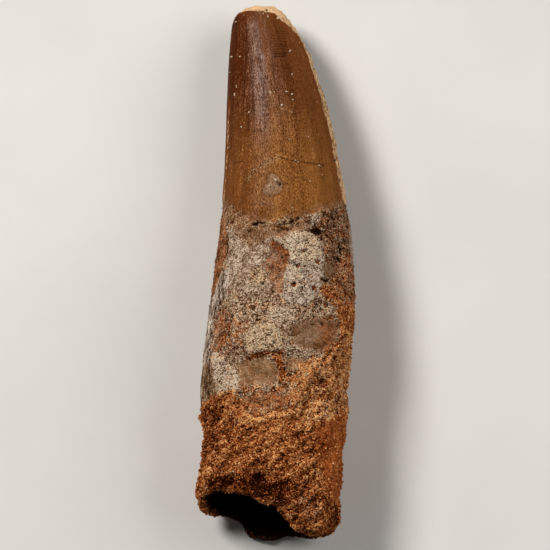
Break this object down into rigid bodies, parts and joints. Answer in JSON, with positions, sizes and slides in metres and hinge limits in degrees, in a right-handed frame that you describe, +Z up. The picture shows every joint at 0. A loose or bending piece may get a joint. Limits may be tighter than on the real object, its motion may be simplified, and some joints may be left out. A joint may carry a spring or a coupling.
{
  "type": "fossil spinosaurus tooth",
  "caption": "Fossil spinosaurus tooth lying on its side: curved brown enamel crown, crusted root, and rusty sandstone matrix round the root's open, broken end.",
  "frame": {"origin": "on the surface that the tooth lies on, below the middle of its bounding box", "axes": "+Z up from that surface, +Y along the tooth towards its tip, +X towards the convex edge of the curve"},
  "size_m": [0.0344, 0.1168, 0.0266],
  "materials": {
    "tooth": "satin brown enamel on the crown, pale crusts over grey-brown dentine on the root",
    "sandstone_matrix": "coarse, rust-coloured sandstone, matt"
  },
  "bodies": {
    "root": {"tooth": "tooth", "sandstone_matrix": "sandstone_matrix"}
  },
  "joints": []
}
